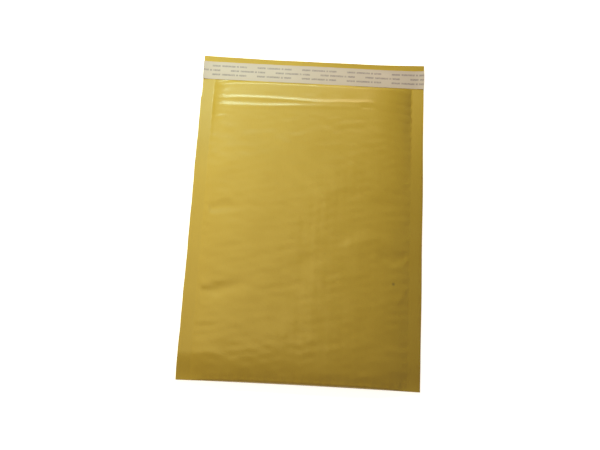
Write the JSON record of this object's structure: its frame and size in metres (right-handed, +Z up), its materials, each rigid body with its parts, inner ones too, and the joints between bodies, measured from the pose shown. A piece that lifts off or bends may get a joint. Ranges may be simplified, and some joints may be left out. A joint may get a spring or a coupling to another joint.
{
  "type": "padded envelope",
  "caption": "Flat padded envelope of brown paper with a bubble film lining, an open mouth and a flap with a peel-off adhesive strip.",
  "frame": {"origin": "under the middle of the whole envelope, flap included, on the surface it lies on", "axes": "+X across the envelope, +Y along it from the folded end to the flap, +Z up out of the front panel"},
  "size_m": [0.24, 0.345, 0.0123],
  "materials": {
    "brown_paper": "golden brown paper, machine glazed, semi-gloss, faintly fibrous",
    "bubble_film": "clear glossy film with air bubbles",
    "hot_melt": "pale tacky adhesive",
    "liner_paper": "pinkish off-white silicone paper with rows of faint grey printed bars"
  },
  "bodies": {
    "root": {"paper_cover": "brown_paper", "bubble_lining": "bubble_film", "adhesive_strip": "hot_melt", "release_liner": "liner_paper"}
  },
  "joints": []
}
